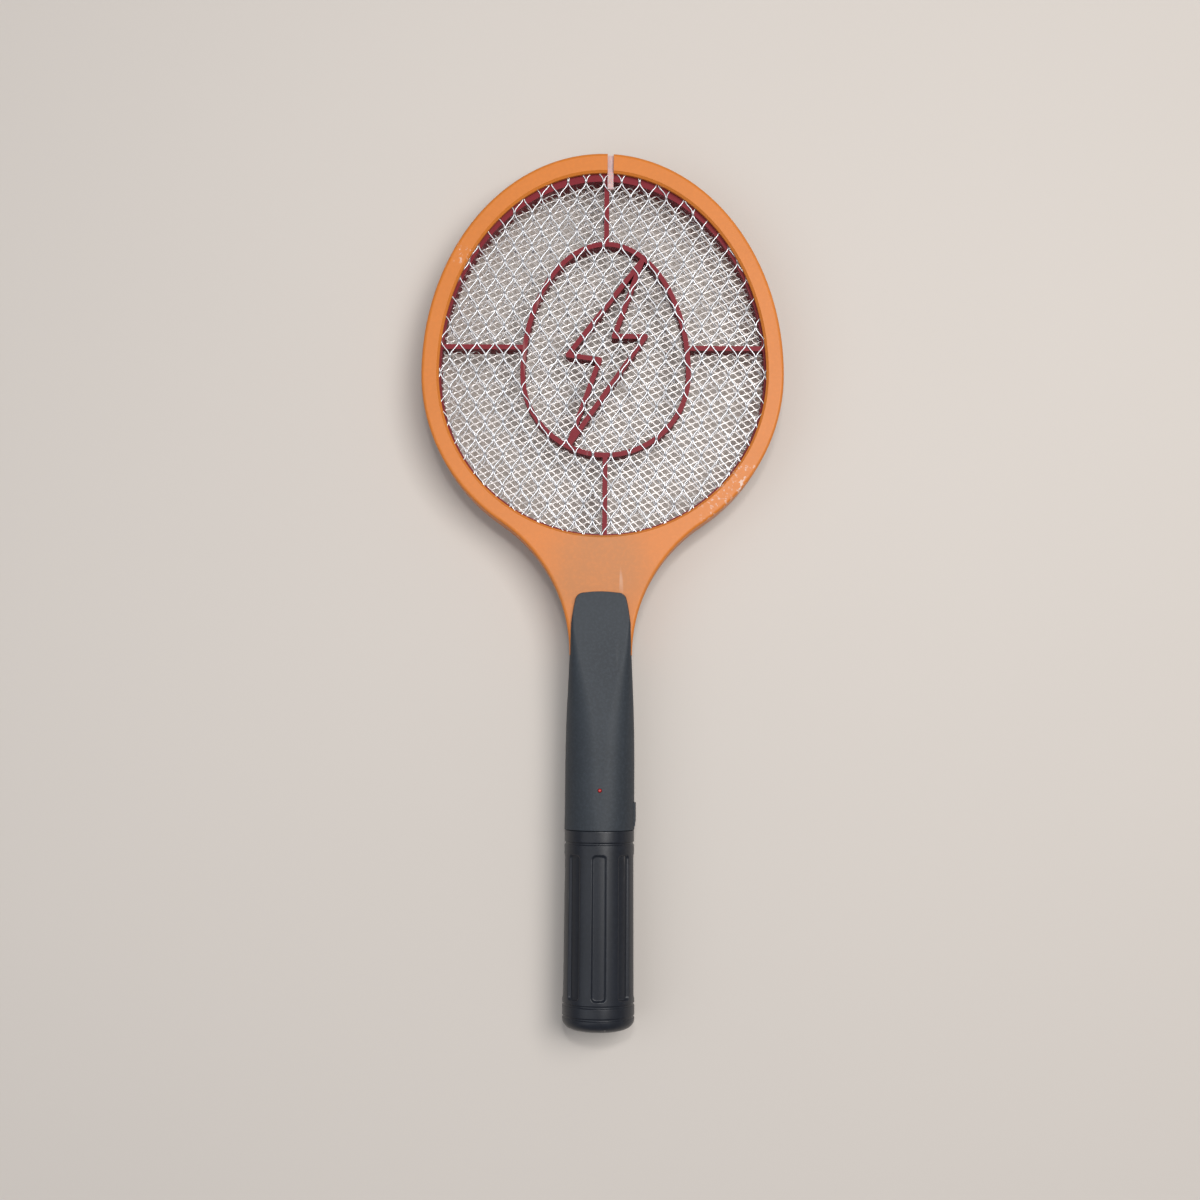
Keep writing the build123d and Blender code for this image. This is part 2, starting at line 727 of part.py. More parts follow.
def mesh_wire():
    """Return wire from the board to the strip that joins the outer meshes."""
    return wire_along([(-0.6, board_top_y - 3.5, -5.0), (3.0, tang_end - 4.0, -2.8), (5.4, tang_end + 7.0, 0.2),
                       (6.0, throat_y + 2.0, -0.6), (6.4, throat_y + 15.0, -0.3), (7.4, throat_y + 28.0, 0.2),
                       (9.5, throat_y + 41.0, 0.2), (strip_x, strip_y - 7.5, 0.1), (strip_x, strip_y - 0.05, 0.0)])


def negative_wire():
    """Wire from the left cell's spring, through the tray's neck, up to the board."""
    return wire_along([(-7.35, plate_y + 2.4, 0.0), (-7.0, plate_y + 7.0, -0.6), (-5.6, plate_y + 13.0, -1.6),
                       (-5.5, parting_y + 3.0, -2.0), (-5.8, parting_y + 9.0, -4.0),
                       (-5.4, parting_y + 13.0, -4.9)])


def positive_wire():
    """Wire from the right cell's contact, over to the left in the collar, up to the board."""
    return wire_along([(7.35, plate_y + 2.4, 0.0), (6.0, plate_y + 6.5, 1.0), (0.5, plate_y + 11.0, 2.0),
                       (-3.9, parting_y + 1.0, 1.5), (-3.9, parting_y + 8.0, -1.5),
                       (-3.6, parting_y + 14.5, -4.9)])


# ---- battery compartment -------------------------------------------------------------------
def battery_tray():
    """Neck and collar that the cap slides over, then two rails and an end plate for two cells."""
    neck = rod(neck_radius, parting_y + end_wall + 0.5, collar_y)
    flange = rod(neck_flange_radius, parting_y + end_wall + 0.2, parting_y + end_wall + 0.2 + neck_flange)
    collar = rod(collar_radius, collar_y, plate_y)
    hollow = rod(collar_radius - collar_wall, collar_y - 2.2, plate_y + 2.0)
    bore = rod(neck_bore, parting_y + 10, collar_y - 3)
    groove = rod(20, collar_y - 7.2, collar_y - 9.2) - rod(collar_radius - 1.0, collar_y - 7, collar_y - 9.4)
    body = neck + flange + collar - hollow - bore - groove
    for side in (-1, 1):
        body = body - rod(wire_radius + 0.2, plate_y - 1, plate_y + 3, x=side * 7.35)
    rails = block(-4.6, 4.6, tray_end_y + 0.1, plate_y + 0.1, -8.6, 8.6)
    rails = rails - block(-10, 10, tray_end_y - 1, plate_y, -1.6, 1.6)
    for side in (-1, 1):
        rails = rails - rod(cell_radius + 0.15, tray_end_y, plate_y, x=side * cell_x)
    plate = rod(collar_radius - 0.3, bridge_y - contact_thickness - 0.02, tray_end_y)
    return body + rails + plate


def cap_seal_ring():
    ring_y = collar_y - 8.2
    profile = Plane(origin=(0, ring_y, mid), x_dir=(1, 0, 0), z_dir=(0, 0, 1))
    with BuildSketch(profile) as sketch:
        with Locations((collar_radius - 0.42, 0)):
            Ellipse(0.5, 0.85)
    return revolve(sketch.sketch, Axis((0, 0, mid), (0, 1, 0)))


def battery_cell(side):
    """An AA cell; its positive nub points at the handle on the right and away on the left."""
    if side > 0:
        nub = rod(cell_nub_radius, contact_y, contact_y - cell_nub_height - 0.5, x=cell_x)
        can = rod(cell_radius, contact_y - cell_nub_height, contact_y - cell_length, x=cell_x)
    else:
        nub = rod(cell_nub_radius, bridge_y + cell_nub_height + 0.5, bridge_y, x=-cell_x)
        can = rod(cell_radius, bridge_y + cell_length, bridge_y + cell_nub_height, x=-cell_x)
    return fillet(can.edges(), 0.6) + nub


def coil(y_start, y_end, x):
    """A plain compression spring between two places along Y, its ends just inside them."""
    length = abs(y_end - y_start) - 2 * spring_wire - 0.1
    pitch = length / spring_turns
    helix = Helix(pitch=pitch, height=length, radius=spring_radius)
    start = Plane(origin=helix @ 0, z_dir=helix % 0)
    turn = sweep(start * Circle(spring_wire), path=helix, is_frenet=True)
    low = min(y_start, y_end) + spring_wire + 0.05
    return Pos(x, low, mid) * Rot(-90, 0, 0) * turn


def negative_contact():
    """Contact leaf with the spring that presses on the left cell."""
    leaf = block(-cell_x - 4.9, -cell_x + 3.4, contact_y, plate_y - 0.01, -4.9, 4.9)
    return [leaf, coil(contact_y, bridge_y + cell_length, -cell_x)]


def positive_contact():
    return block(cell_x - 3.4, cell_x + 4.9, contact_y + 0.01, plate_y - 0.01, -4.9, 4.9)


def bridge_contact():
    """Leaf across both cells on the end plate, with the right cell's spring."""
    low = bridge_y - contact_thickness
    leaf = block(-cell_x - 4.9, cell_x + 4.9, low, bridge_y - 0.01, -1.4, 1.4)
    for side in (-1, 1):
        leaf = leaf + block(side * cell_x - 4.4, side * cell_x + 4.4, low, bridge_y - 0.01, -4.9, 4.9)
    return [leaf, coil(bridge_y, contact_y - cell_length, cell_x)]


def cap_profile_radius(y):
    """The cap's outer radius, which widens a little from the mouth to the end."""
    share = (parting_y - y) / (parting_y - end_y - cap_end_round)
    return cap_mouth_radius + (cap_radius - cap_mouth_radius) * min(max(share, 0.0), 1.0)


def cap_outline():
    """The cap's wall in section, from the mouth round the domed end to the axis and back."""
    mouth = parting_y - cap_gap
    shoulder = end_y + cap_end_round
    outer = [(bore_radius, mouth), (cap_mouth_radius, mouth)]
    for y in [parting_y - mouth_groove_drop] + [end_y + rise for rise in end_groove_rises]:
        radius = cap_profile_radius(y)
        half = groove_width / 2
        outer += [(radius, y + half), (radius - groove_depth, y + half),
                  (radius - groove_depth, y - half), (radius, y - half)]
    outer.append((cap_radius, shoulder))
    corner = (cap_radius - 1.7, shoulder - 0.66 * (cap_end_round - cap_dome))
    flat = (cap_radius - cap_end_round, end_y + cap_dome)
    dome = ((flat[0] + cap_end_flat) / 2, end_y + 0.42 * cap_dome)
    floor = end_y + 4.0
    step = tray_end_y - 1.0
    with BuildSketch() as sketch:
        with BuildLine():
            Polyline(*outer)
            ThreePointArc((cap_radius, shoulder), corner, flat)
            ThreePointArc(flat, dome, (cap_end_flat, end_y))
            Polyline((cap_end_flat, end_y), (0, end_y), (0, floor), (bore_radius - 4.0, floor),
                     (bore_radius, step), (bore_radius, mouth))
        make_face()
    return sketch.sketch


def battery_cap():
    """The long fluted cap that covers the cells and pulls off along the handle's axis."""
    body = Pos(0, 0, mid) * revolve(cap_outline(), Axis((0, 0, 0), (0, 1, 0)))
    floor_radius = cap_mouth_radius - flute_depth
    middle = (flute_start_y + flute_end_y) / 2
    length = flute_start_y - flute_end_y
    width = 2 * floor_radius * math.sin(math.radians(flute_angle / 2))
    cutter = Pos(0, 0, floor_radius + 4) * Box(width, length, 10)
    cutter = fillet(cutter.edges().filter_by(Axis.Z), 2.0)
    cutter = cutter - Rot(90, 0, 0) * Cylinder(floor_radius, length + 4)
    for index in range(flute_count):
        angle = index * 360 / flute_count
        body = body - Pos(0, middle, mid) * Rot(0, angle, 0) * cutter
    return body


def write(name, shape):
    """Write one node, as one solid or as a group of separate solids."""
    if isinstance(shape, list):
        shape = Compound(children=[piece for item in shape for piece in item.solids()])
    export_step(shape, "parts/" + name + ".step")


os.makedirs("parts", exist_ok=True)
write("front_frame", front_frame())
write("rear_frame", rear_frame())
write("frame_screws", frame_screws())
write("crown_clip", crown_clip())
outer_mesh = coarse_mesh()
write("front_mesh", outer_mesh)
write("rear_mesh", front_to_rear(outer_mesh))
write("inner_grid", inner_grid())
front_ring = front_spacer()
write("front_spacer", front_ring)
write("rear_spacer", front_to_rear(front_ring))
write("mesh_strip", mesh_strip())
write("grid_terminal", grid_terminal())
write("handle_front_shell", handle_front_shell())
write("handle_rear_shell", handle_rear_shell())
write("handle_screws", handle_screws())
write("power_button", power_button())
write("switch_plunger", switch_plunger())
write("switch_body", switch_body())
write("circuit_board", circuit_board())
write("board_screws", board_screws())
write("transformer_core", transformer_core())
write("transformer_winding", transformer_winding())
write("hv_capacitor", hv_capacitor())
write("hv_diodes", hv_diodes())
write("resistors", resistors())
write("transistor", transistor())
write("indicator_led", indicator_led())
write("grid_wire", grid_wire())
write("mesh_wire", mesh_wire())
write("battery_wire_negative", negative_wire())
write("battery_wire_positive", positive_wire())
write("battery_tray", battery_tray())
write("cap_seal_ring", cap_seal_ring())
write("battery_cell_left", battery_cell(-1))
write("battery_cell_right", battery_cell(1))
write("negative_contact", negative_contact())
write("positive_contact", positive_contact())
write("bridge_contact", bridge_contact())
write("battery_cap", battery_cap())
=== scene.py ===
"""Looks of an electric fly swatter, laid out as a Blender add-on and run as a script.

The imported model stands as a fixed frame. This file adds the wire electrodes, the moulded skins
and the finishes, in metres, in the frame's own axes: X across the head, +Y towards the crown of
the hoop, +Z out of the front face.
"""
import math

import bpy
import numpy as np
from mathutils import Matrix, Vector


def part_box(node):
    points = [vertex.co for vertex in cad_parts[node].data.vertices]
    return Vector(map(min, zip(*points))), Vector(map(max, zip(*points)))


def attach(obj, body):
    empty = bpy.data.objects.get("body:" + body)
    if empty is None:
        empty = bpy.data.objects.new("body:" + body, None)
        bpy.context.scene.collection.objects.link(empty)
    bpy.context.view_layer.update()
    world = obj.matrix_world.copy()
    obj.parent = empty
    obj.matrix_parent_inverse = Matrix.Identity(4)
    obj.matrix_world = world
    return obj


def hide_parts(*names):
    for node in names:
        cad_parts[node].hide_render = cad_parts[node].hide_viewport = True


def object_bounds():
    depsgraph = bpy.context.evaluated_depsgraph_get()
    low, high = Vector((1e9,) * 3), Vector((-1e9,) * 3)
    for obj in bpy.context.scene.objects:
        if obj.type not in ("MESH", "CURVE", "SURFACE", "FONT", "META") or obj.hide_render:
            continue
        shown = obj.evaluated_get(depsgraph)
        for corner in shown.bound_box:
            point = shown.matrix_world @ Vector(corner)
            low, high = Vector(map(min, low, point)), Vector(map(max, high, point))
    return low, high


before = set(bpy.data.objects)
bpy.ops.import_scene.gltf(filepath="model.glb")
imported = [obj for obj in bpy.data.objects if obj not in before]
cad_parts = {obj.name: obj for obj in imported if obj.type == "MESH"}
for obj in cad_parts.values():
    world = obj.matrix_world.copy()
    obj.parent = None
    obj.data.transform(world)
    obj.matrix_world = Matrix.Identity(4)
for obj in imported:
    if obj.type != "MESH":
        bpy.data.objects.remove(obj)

bl_info = {
    "name": "Electric Fly Swatter",
    "version": (1, 0, 0),
    "blender": (4, 5, 0),
    "location": "3D View > Sidebar > Swatter",
    "description": "Wire electrodes, moulded skins and finishes for an electric fly swatter",
    "category": "Add Mesh",
}

MM = 0.001
CAD_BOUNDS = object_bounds()


# ---- places read from the frame ----------------------------------------------------------------
def corners(node):
    """Lowest and highest corner of a CAD node as two arrays."""
    low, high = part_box(node)
    return np.array(low), np.array(high)


MESH_LOW, MESH_HIGH = corners("front_mesh")
GRID_LOW, GRID_HIGH = corners("inner_grid")
REAR_LOW, REAR_HIGH = corners("rear_mesh")
CAP_LOW, CAP_HIGH = corners("battery_cap")
HEAD_WIDE = (MESH_HIGH[0] - MESH_LOW[0]) / 2
HEAD_Y = MESH_LOW[1] + HEAD_WIDE
HEAD_TALL = MESH_HIGH[1] - HEAD_Y
MID_Z = (GRID_LOW[2] + GRID_HIGH[2]) / 2


# ---- mesh building ------------------------------------------------------------------------------
def sheet_faces(rows, columns, close_rows=False, close_columns=False):
    """Quads over a grid of points numbered row by row, as an array of four corners each."""
    row = np.arange(rows if close_rows else rows - 1)
    column = np.arange(columns if close_columns else columns - 1)
    row, column = np.meshgrid(row, column, indexing="ij")
    below, beside = (row + 1) % rows, (column + 1) % columns
    quads = np.stack([row * columns + column, row * columns + beside,
                      below * columns + beside, below * columns + column], axis=-1)
    return quads.reshape(-1, 4)


def repeated(quads, copies, points_each):
    """The same quads for many copies of a shape whose points follow one another."""
    steps = np.arange(copies)[:, None, None] * points_each
    return (quads[None] + steps).reshape(-1, 4)


def add_piece(name, points, quads, body, replaces=(), smooth=True):
    """A mesh object from arrays of points and quads, riding on a body and standing for CAD nodes."""
    mesh = bpy.data.meshes.new(name)
    points = np.ascontiguousarray(points.reshape(-1, 3), dtype=np.float32)
    mesh.vertices.add(len(points))
    mesh.vertices.foreach_set("co", points.ravel())
    mesh.loops.add(quads.size)
    mesh.loops.foreach_set("vertex_index", np.ascontiguousarray(quads, dtype=np.int32).ravel())
    mesh.polygons.add(len(quads))
    mesh.polygons.foreach_set("loop_start", np.arange(len(quads), dtype=np.int32) * 4)
    mesh.polygons.foreach_set("loop_total", np.full(len(quads), 4, dtype=np.int32))
    mesh.update(calc_edges=True)
    mesh.polygons.foreach_set("use_smooth", np.full(len(quads), smooth, dtype=bool))
    mesh.validate()
    piece = bpy.data.objects.new(name, mesh)
    bpy.context.scene.collection.objects.link(piece)
    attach(piece, body)
    if replaces:
        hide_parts(*replaces)
    return piece


def smoothstep(value):
    """The cubic 3v^2 - 2v^3 with its ends held at 0 and 1."""
    value = np.clip(value, 0.0, 1.0)
    return value * value * (3.0 - 2.0 * value)


# ---- shader writing -----------------------------------------------------------------------------
class Field:
    """One output of a material's nodes. Arithmetic on it adds Math nodes to the same tree."""

    def __init__(self, paint, socket):
        self.paint = paint
        self.socket = socket

    def math(self, operation, *others):
        inputs = dict(enumerate((self,) + others))
        return self.paint.node("ShaderNodeMath", inputs=inputs, operation=operation)

    def __add__(self, other):
        return self.math("ADD", other)

    def __radd__(self, other):
        return self.math("ADD", other)

    def __sub__(self, other):
        return self.math("SUBTRACT", other)

    def __rsub__(self, other):
        return self.math("MULTIPLY_ADD", -1.0, other)

    def __mul__(self, other):
        return self.math("MULTIPLY", other)

    def __rmul__(self, other):
        return self.math("MULTIPLY", other)

    def __truediv__(self, other):
        return self.math("DIVIDE", other)

    def above(self, low, high):
        """0 below low, 1 above high, and smooth between."""
        inputs = {"Value": self, "From Min": low, "From Max": high, "To Min": 0.0, "To Max": 1.0}
        return self.paint.node("ShaderNodeMapRange", inputs=inputs, interpolation_type="SMOOTHSTEP")


class Paint:
    """One procedural material on Object coordinates, with a Principled shader at its end."""

    def __init__(self, name, **fixed):
        self.material = bpy.data.materials.new(name)
        self.material.use_nodes = True
        self.tree = self.material.node_tree
        self.tree.nodes.clear()
        self.end = self.tree.nodes.new("ShaderNodeOutputMaterial")
        self.shader = self.tree.nodes.new("ShaderNodeBsdfPrincipled")
        self.tree.links.new(self.shader.outputs[0], self.end.inputs[0])
        for key, value in fixed.items():
            self.shader.inputs[key.replace("_", " ")].default_value = value
        self.place = self.node("ShaderNodeTexCoord", output="Object")

    def node(self, kind, output=0, inputs=None, stops=None, **settings):
        """Any node: its settings first, then the values or links of its sockets."""
        node = self.tree.nodes.new(kind)
        for key, value in settings.items():
            setattr(node, key, value)
        if stops:
            ramp = node.color_ramp
            for index, (position, colour) in enumerate(stops):
                stop = ramp.elements[index] if index < 2 else ramp.elements.new(position)
                stop.position = position
                stop.color = (*colour, 1.0)
        for key, value in (inputs or {}).items():
            self.feed(node.inputs[key], value)
        return Field(self, node.outputs[output])

    def feed(self, socket, value):
        if isinstance(value, Field):
            self.tree.links.new(value.socket, socket)
        else:
            socket.default_value = value

    def moved(self, scale=(1, 1, 1), turn=(0, 0, 0)):
        """Object coordinates, stretched and turned."""
        return self.node("ShaderNodeMapping", inputs={"Vector": self.place, "Scale": scale, "Rotation": turn})

    def noise(self, scale, detail=2.0, rough=0.5, where=None):
        inputs = {"Vector": where or self.place, "Scale": scale, "Detail": detail, "Roughness": rough}
        return self.node("ShaderNodeTexNoise", inputs=inputs)

    def cells(self, scale, where=None, output="Distance", **settings):
        inputs = {"Vector": where or self.place, "Scale": scale}
        return self.node("ShaderNodeTexVoronoi", output=output, inputs=inputs, **settings)

    def mix(self, factor, first, second):
        """The first colour where the factor is 0, the second where it is 1."""
        inputs = {0: factor, 6: opaque(first), 7: opaque(second)}
        return self.node("ShaderNodeMix", output=2, inputs=inputs, data_type="RGBA")

    def near(self, place, reach):
        """1 at a place and within half the reach of it, fading to 0 at the reach."""
        inputs = {0: self.place, 1: place}
        away = self.node("ShaderNodeVectorMath", output="Value", inputs=inputs, operation="DISTANCE")
        return 1.0 - away.above(0.4 * reach, reach)

    def bump(self, height, strength, distance, below=None):
        inputs = {"Height": height, "Strength": strength, "Distance": distance}
        if below:
            inputs["Normal"] = below
        return self.node("ShaderNodeBump", inputs=inputs)

    def set(self, **values):
        """Links or values for the Principled shader; an underscore in a name stands for a space."""
        for key, value in values.items():
            self.feed(self.shader.inputs[key.replace("_", " ")], value)
        return self.material


def opaque(colour):
    """A colour with its alpha, or a link as it is."""
    return colour if isinstance(colour, Field) else (*colour[:3], 1.0)


def scaled(colour, share):
    """A darker or lighter copy of a colour."""
    return tuple(min(1.0, channel * share) for channel in colour[:3])


def dress(node, material):
    """Puts a material on a CAD node or a new piece in place of what it has."""
    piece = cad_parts[node] if isinstance(node, str) else node
    if not piece.material_slots:
        piece.data.materials.append(material)
    for slot in piece.material_slots:
        slot.material = material


# ---- finishes -----------------------------------------------------------------------------------
def moulded_plastic(name, colour, roughness, grain=1400.0, grain_depth=0.02, wear=0.0, mottle=0.12, sheen=0.4,
                    tint=None, tint_at=(), scuffs_at=()):
    """Injection-moulded plastic: a spark-eroded grain, faint flow mottling and scuffs.

    The places in tint_at and scuffs_at are a point and a reach each. Round the first the colour
    goes over to the tint, and round the second the scuffs lie close together.
    """
    paint = Paint(name, IOR=1.47, Specular_IOR_Level=sheen)
    broad = paint.noise(28.0, 3.0)
    fine = paint.noise(grain, 2.0, 0.6)
    streaks = paint.noise(60.0, 4.0, 0.7, where=paint.moved(scale=(1.0, 0.12, 1.0), turn=(0, 0, 0.5)))
    scratch_lines = paint.noise(240.0, 3.0, 0.55, where=paint.moved(scale=(1.0, 0.06, 1.0), turn=(0, 0, 0.9)))
    patches = paint.noise(22.0, 2.0)
    scuffs = scratch_lines.above(0.66, 0.74) * patches.above(0.52, 0.68) * wear
    chips = paint.noise(520.0, 3.0, 0.6).above(0.56, 0.66)
    for place, reach in scuffs_at:
        scuffs = scuffs + chips * paint.near(place, reach) * 0.45
    base = paint.mix(broad.above(0.3, 0.7) * mottle, colour, scaled(colour, 0.72))
    for place, reach in tint_at:
        base = paint.mix(paint.near(place, reach) * broad.above(0.1, 0.6), base, tint)
    base = paint.mix(streaks.above(0.55, 0.8) * mottle, base, scaled(colour, 1.25))
    pebbles = paint.noise(0.4 * grain, 3.0, 0.6)
    base = paint.mix(pebbles.above(0.42, 0.68) * mottle, base, scaled(colour, 1.35))
    base = paint.mix(scuffs, base, (0.78, 0.72, 0.66))
    rough = fine * 0.14 + (roughness - 0.07) + scuffs * 0.25 + broad * 0.04
    skin = paint.bump(fine, 0.35, grain_depth * MM)
    skin = paint.bump(scuffs, 0.4, 0.02 * MM, below=skin)
    return paint.set(Base_Color=base, Roughness=rough, Normal=skin)


def translucent_nylon(name, colour):
    """Natural nylon: milky, a little waxy, clouded inside."""
    paint = Paint(name, IOR=1.53, Subsurface_Weight=0.35, Subsurface_Scale=0.004)
    cloud = paint.noise(300.0, 3.0)
    base = paint.mix(cloud.above(0.35, 0.7), colour, scaled(colour, 0.86))
    return paint.set(Base_Color=base, Roughness=cloud * 0.2 + 0.3, Normal=paint.bump(cloud, 0.2, 0.05 * MM))


def zinc_wire(name, colour, roughness=0.32, metal=1.0):
    """Zinc-coated steel: bright, with spangle, dull spots and drawing lines."""
    paint = Paint(name, Metallic=metal)
    spangle = paint.noise(900.0, 2.0)
    dull = paint.noise(90.0, 3.0, 0.6)
    base = paint.mix(dull.above(0.45, 0.75) * 0.5, colour, scaled(colour, 0.62))
    base = paint.mix(spangle.above(0.55, 0.8) * 0.35, base, scaled(colour, 1.15))
    rough = spangle * 0.22 + (roughness - 0.1) + dull.above(0.5, 0.8) * 0.2
    return paint.set(Base_Color=base, Roughness=rough, Normal=paint.bump(spangle, 0.25, 0.03 * MM))


def turned_metal(name, colour, roughness=0.28):
    """Screws, springs and contacts: plated metal with fine lines and a few tarnished spots."""
    paint = Paint(name, Metallic=1.0)
    lines = paint.noise(2600.0, 2.0, 0.6, where=paint.moved(scale=(0.2, 1.0, 1.0)))
    spots = paint.noise(420.0, 3.0).above(0.58, 0.72)
    base = paint.mix(spots * 0.6, colour, scaled(colour, 0.5))
    rough = lines * 0.16 + (roughness - 0.06) + spots * 0.2
    return paint.set(Base_Color=base, Roughness=rough, Normal=paint.bump(lines, 0.2, 0.02 * MM))


def circuit_laminate(name, colour):
    """Green solder mask over copper tracks, with the weave of the glass cloth under it."""
    paint = Paint(name, IOR=1.5, Coat_Weight=0.4, Coat_Roughness=0.15)
    tracks = paint.cells(170.0, feature="DISTANCE_TO_EDGE").above(0.03, 0.06)
    weave = paint.node("ShaderNodeTexChecker", output="Fac",
                       inputs={"Vector": paint.place, "Scale": 1700.0})
    base = paint.mix(tracks * 0.6, scaled(colour, 1.9), colour)
    base = paint.mix(weave * 0.12, base, scaled(colour, 0.6))
    return paint.set(Base_Color=base, Roughness=weave * 0.08 + 0.32,
                     Normal=paint.bump(tracks, 0.3, 0.04 * MM))


def ceramic_block(name, colour, roughness=0.6):
    """Sintered or moulded component body: fine pits and pale chipped specks."""
    paint = Paint(name)
    pits = paint.noise(1600.0, 3.0, 0.65)
    specks = pits.above(0.68, 0.76)
    base = paint.mix(specks * 0.35, colour, scaled(colour, 3.0))
    return paint.set(Base_Color=base, Roughness=pits * 0.2 + (roughness - 0.1),
                     Normal=paint.bump(pits, 0.4, 0.04 * MM))


def copper_winding(name, colour):
    """Enamelled wire wound side by side round the bobbin, under a sheet of yellow tape, with painted shade in
    the grooves between turns.
    """
    paint = Paint(name, Coat_Weight=0.3, Coat_Roughness=0.2)
    turns_and_groove_shade = paint.node("ShaderNodeTexWave", output="Fac", bands_direction="Y",
                       inputs={"Vector": paint.place, "Scale": 260.0, "Distortion": 0.4})
    # Painted shade: the colour falls to half its brightness in the grooves between turns.
    base = paint.mix(turns_and_groove_shade, scaled(colour, 0.5), colour)
    return paint.set(Base_Color=base, Roughness=turns_and_groove_shade * 0.15 + 0.3, Normal=paint.bump(turns_and_groove_shade, 0.5, 0.08 * MM))


def insulated_wire(name, colour):
    """Soft vinyl sleeve with a slight lengthwise sheen and handling marks."""
    paint = Paint(name)
    marks = paint.noise(700.0, 3.0)
    base = paint.mix(marks.above(0.4, 0.75) * 0.4, colour, scaled(colour, 0.6))
    return paint.set(Base_Color=base, Roughness=marks * 0.2 + 0.35, Normal=paint.bump(marks, 0.15, 0.03 * MM))


def cell_wrap(name, dark, bright, split, way):
    """A cell's shrink sleeve: dark, with a bright band past one place along Y, on the side of way, and
    painted shade in its creases.
    """
    paint = Paint(name, Coat_Weight=0.5, Coat_Roughness=0.12)
    along = paint.node("ShaderNodeSeparateXYZ", output="Y", inputs={"Vector": paint.place})
    creases_and_shade = paint.noise(260.0, 3.0, where=paint.moved(scale=(1.0, 0.2, 1.0)))
    band = ((along - split) * way).above(-0.0002, 0.0002)
    base = paint.mix(band, dark, bright)
    # Painted shade: the creases darken the sleeve towards half of its dark colour.
    base = paint.mix(creases_and_shade.above(0.5, 0.8) * 0.3, base, scaled(dark, 0.5))
    return paint.set(Base_Color=base, Roughness=creases_and_shade * 0.2 + 0.22, Metallic=band * 0.7,
                     Normal=paint.bump(creases_and_shade, 0.15, 0.05 * MM))


def lamp_lens(name, colour):
    """Tinted clear plastic of a small lamp, frosted at its rim and a little lit from inside."""
    paint = Paint(name, Coat_Weight=0.8, Coat_Roughness=0.08, Emission_Strength=0.05)
    frost = paint.noise(2200.0, 2.0)
    base = paint.mix(frost.above(0.4, 0.7) * 0.4, colour, scaled(colour, 0.55))
    return paint.set(Base_Color=base, Emission_Color=base, Roughness=frost * 0.2 + 0.15,
                     Normal=paint.bump(frost, 0.1, 0.02 * MM))


# ---- wire electrodes ----------------------------------------------------------------------------
def inside_head(x, y, wide, tall):
    """Below 1 inside the head's egg: half an ellipse above its centre, half a circle below."""
    height = np.where(y > HEAD_Y, tall, wide)
    return (x / wide) ** 2 + ((y - HEAD_Y) / height) ** 2


def strand_net(name, shape, height, body, node, paint):
    """Slit and stretched sheet as crossing strands.

    Junctions stand on a diamond lattice. From each junction one strand runs to the upper right
    neighbour and one to the upper left. Along the strand the long coordinate grows evenly and the
    short one follows a smoothstep that is flat at both ends, so neighbours run side by side for
    the length of the bond. Its section is a rounded rectangle that leans over as it crosses, and
    each strand is cut where it leaves the head's outline.
    """
    half_short, half_long = shape.pitch_short / 2, shape.pitch_long / 2
    reach = int(1.5 * HEAD_TALL / half_short) + 2
    count_long = int(1.5 * HEAD_TALL / half_long) + 2
    i, j = np.meshgrid(np.arange(-reach, reach + 1), np.arange(-count_long, count_long + 1))
    keep = (i + j) % 2 == 0
    i, j = i[keep], j[keep]
    start = np.stack([i * half_short, j * half_long], axis=-1)
    start = np.concatenate([start, start])
    side = np.repeat([1.0, -1.0], len(i))
    cos, sin = math.cos(shape.turn), math.sin(shape.turn)

    def path(share):
        """Points of every strand's centre line at a share of its length, in the head's plane."""
        flat = shape.bond / shape.pitch_long
        across = smoothstep((share - flat) / (1.0 - 2.0 * flat))
        gap = shape.width * 0.42
        short = start[:, None, 0] + side[:, None] * (gap + (half_short - 2.0 * gap) * across)
        long = start[:, None, 1] + half_long * share
        return short * cos - long * sin, HEAD_Y + shape.shift + short * sin + long * cos

    probe = np.linspace(0.0, 1.0, 41)[None, :]
    within = inside_head(*path(probe), HEAD_WIDE - shape.width / 2, HEAD_TALL - shape.width / 2) < 1.0
    used = within.sum(axis=1) > 3
    first = probe[0][within.argmax(axis=1)][used]
    last = probe[0][40 - within[:, ::-1].argmax(axis=1)][used]
    start, side = start[used], side[used]
    steps = np.linspace(0.0, 1.0, shape.steps)
    share = first[:, None] + (last - first)[:, None] * steps
    x, y = path(share)
    run_x, run_y = np.gradient(x, axis=1), np.gradient(y, axis=1)
    length = np.hypot(run_x, run_y)
    out_x, out_y = -run_y / length, run_x / length
    turn = (np.arange(shape.sides) + 0.5) * 2 * math.pi / shape.sides
    ring_across = np.sign(np.cos(turn)) * np.abs(np.cos(turn)) ** 0.6 * shape.width / 2
    ring_up = np.sign(np.sin(turn)) * np.abs(np.sin(turn)) ** 0.6 * shape.depth / 2
    lean = side[:, None, None] * shape.lean * np.sin(math.pi * share)[:, :, None]
    across = ring_across * np.cos(lean) - ring_up * np.sin(lean)
    up = ring_across * np.sin(lean) + ring_up * np.cos(lean)
    points = np.stack([x[:, :, None] + out_x[:, :, None] * across,
                       y[:, :, None] + out_y[:, :, None] * across,
                       height + up], axis=-1)
    one = sheet_faces(shape.steps, shape.sides, close_columns=True)
    ends = cap_quads(shape.steps, shape.sides)
    quads = repeated(np.concatenate([one, ends]), len(start), shape.steps * shape.sides)
    piece = add_piece(name, points, quads, body, replaces=(node,),
                      smooth=shape.smooth)
    dress(piece, paint)
    return piece


